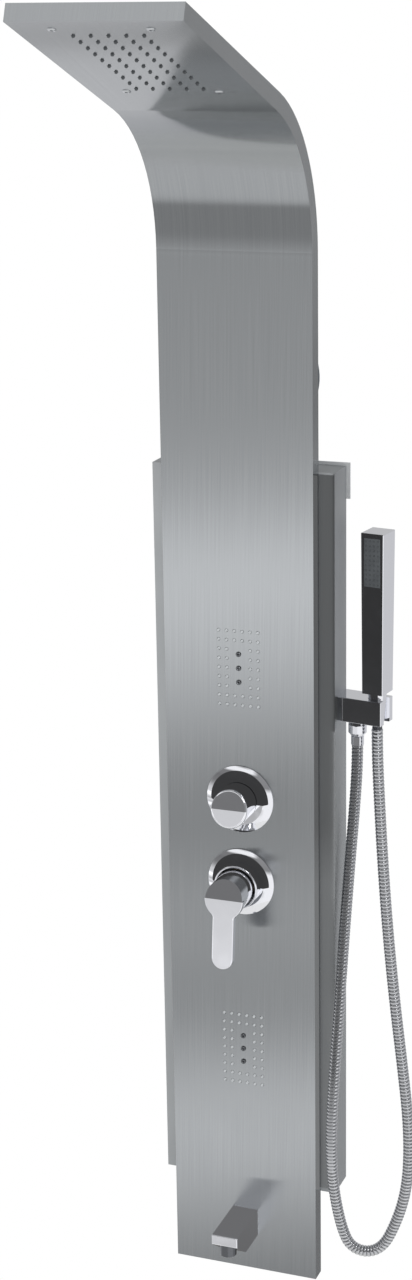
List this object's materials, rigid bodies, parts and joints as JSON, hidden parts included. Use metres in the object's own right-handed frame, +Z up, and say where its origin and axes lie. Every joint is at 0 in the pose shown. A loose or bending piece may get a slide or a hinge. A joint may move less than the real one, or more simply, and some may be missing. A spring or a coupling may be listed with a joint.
{
  "type": "rainfall shower column",
  "caption": "Wall-hung shower column: bent steel panel with rain head, body jets, diverter, lever mixer, tub spout and a bar hand shower on a metal hose.",
  "frame": {"origin": "on the wall, in the middle of the four wall screws", "axes": "+X to the right for someone facing the column, +Y into the wall, +Z up"},
  "size_m": [0.3599, 0.4789, 1.679],
  "materials": {
    "brushed_stainless": "fine upright brushing, satin",
    "box_stainless": "upright brushing, duller than the panel",
    "plated_steel": "zinc plated, dull",
    "screw_steel": "turned and polished",
    "chrome": "mirror chrome plating",
    "nozzle_chrome": "dark chrome plating",
    "brass": "machined, plain",
    "grey_plastic": "moulded, matt",
    "dark_silicone": "moulded silicone, satin",
    "pale_silicone": "moulded silicone, satin",
    "feed_hose": "smooth extruded hose, satin",
    "black_rubber": "moulded, matt",
    "steel_hose": "ribbed stainless strip, polished"
  },
  "bodies": {
    "column": {"back_box": "box_stainless", "cartridge_nut": "nozzle_chrome", "cold_inlet_nipple": "brass", "diverter_body": "brass", "diverter_lock_nut": "brass", "diverter_plate": "chrome", "front_panel": "brushed_stainless", "hand_feed_hose": "feed_hose", "head_cover": "brushed_stainless", "holder_block": "chrome", "holder_nipple": "brass", "holder_nut": "brass", "hose_nut": "chrome", "hose_sleeve": "chrome", "hose_washer": "black_rubber", "hot_inlet_nipple": "brass", "inlet_check_valves": "grey_plastic", "jet_feed_pipe": "feed_hose", "jet_link_hose": "feed_hose", "lower_bracket_screws": "screw_steel", "lower_jet_chamber": "grey_plastic", "lower_jet_mat": "pale_silicone", "lower_jet_nozzles": "nozzle_chrome", "lower_wall_bracket": "plated_steel", "mixed_water_pipe": "brass", "mixer_body": "brass", "mixer_bonnet": "chrome", "mixer_cartridge": "grey_plastic", "mixer_lock_nut": "nozzle_chrome", "mixer_plate": "chrome", "panel_angles": "plated_steel", "panel_screws": "screw_steel", "rain_chamber": "grey_plastic", "rain_chamber_screws": "screw_steel", "rain_hose": "feed_hose", "rain_nozzle_mat": "dark_silicone", "riser_ferrule": "plated_steel", "riser_grommet": "black_rubber", "shower_hose": "steel_hose", "spout": "chrome", "spout_aerator": "nozzle_chrome", "spout_elbow": "brass", "spout_hose": "feed_hose", "spout_nut": "brass", "upper_jet_chamber": "grey_plastic", "upper_jet_mat": "pale_silicone", "upper_jet_nozzles": "nozzle_chrome", "upper_wall_bracket": "plated_steel"},
    "diverter_control": {"diverter_spindle": "brass", "diverter_knob": "chrome", "diverter_set_screw": "screw_steel"},
    "mixer_swivel": {"cartridge_rotor": "grey_plastic", "lever_pin": "screw_steel"},
    "mixer_handle": {"lever_stem": "brass", "mixer_lever": "chrome", "lever_set_screw": "screw_steel"},
    "hose_end": {"cone_nut": "chrome"},
    "hand_shower": {"handset_body": "chrome", "handset_spray_face": "dark_silicone", "handset_washer": "black_rubber"}
  },
  "joints": [
    {"name": "diverter_turn", "type": "hinge", "parent": "column", "child": "diverter_control", "pos_m": [0, -0.1, 0.063], "axis": [0, -1, 0], "continuous": true},
    {"name": "mixer_turn", "type": "hinge", "parent": "column", "child": "mixer_swivel", "pos_m": [0, -0.099, -0.051], "axis": [0, -1, 0], "range_deg": [-50, 50]},
    {"name": "mixer_lift", "type": "hinge", "parent": "mixer_swivel", "child": "mixer_handle", "pos_m": [0, -0.099, -0.051], "axis": [-1, 0, 0], "range_deg": [0, 25]},
    {"name": "handset_lift", "type": "slide", "parent": "column", "child": "hose_end", "axis": [0, 0, 1], "range_m": [0, 0.06], "deforming": ["shower_hose"]},
    {"name": "handset_turn", "type": "hinge", "parent": "hose_end", "child": "hand_shower", "pos_m": [0.16995, -0.02839, 0.211], "axis": [0, 0, 1], "continuous": true}
  ]
}
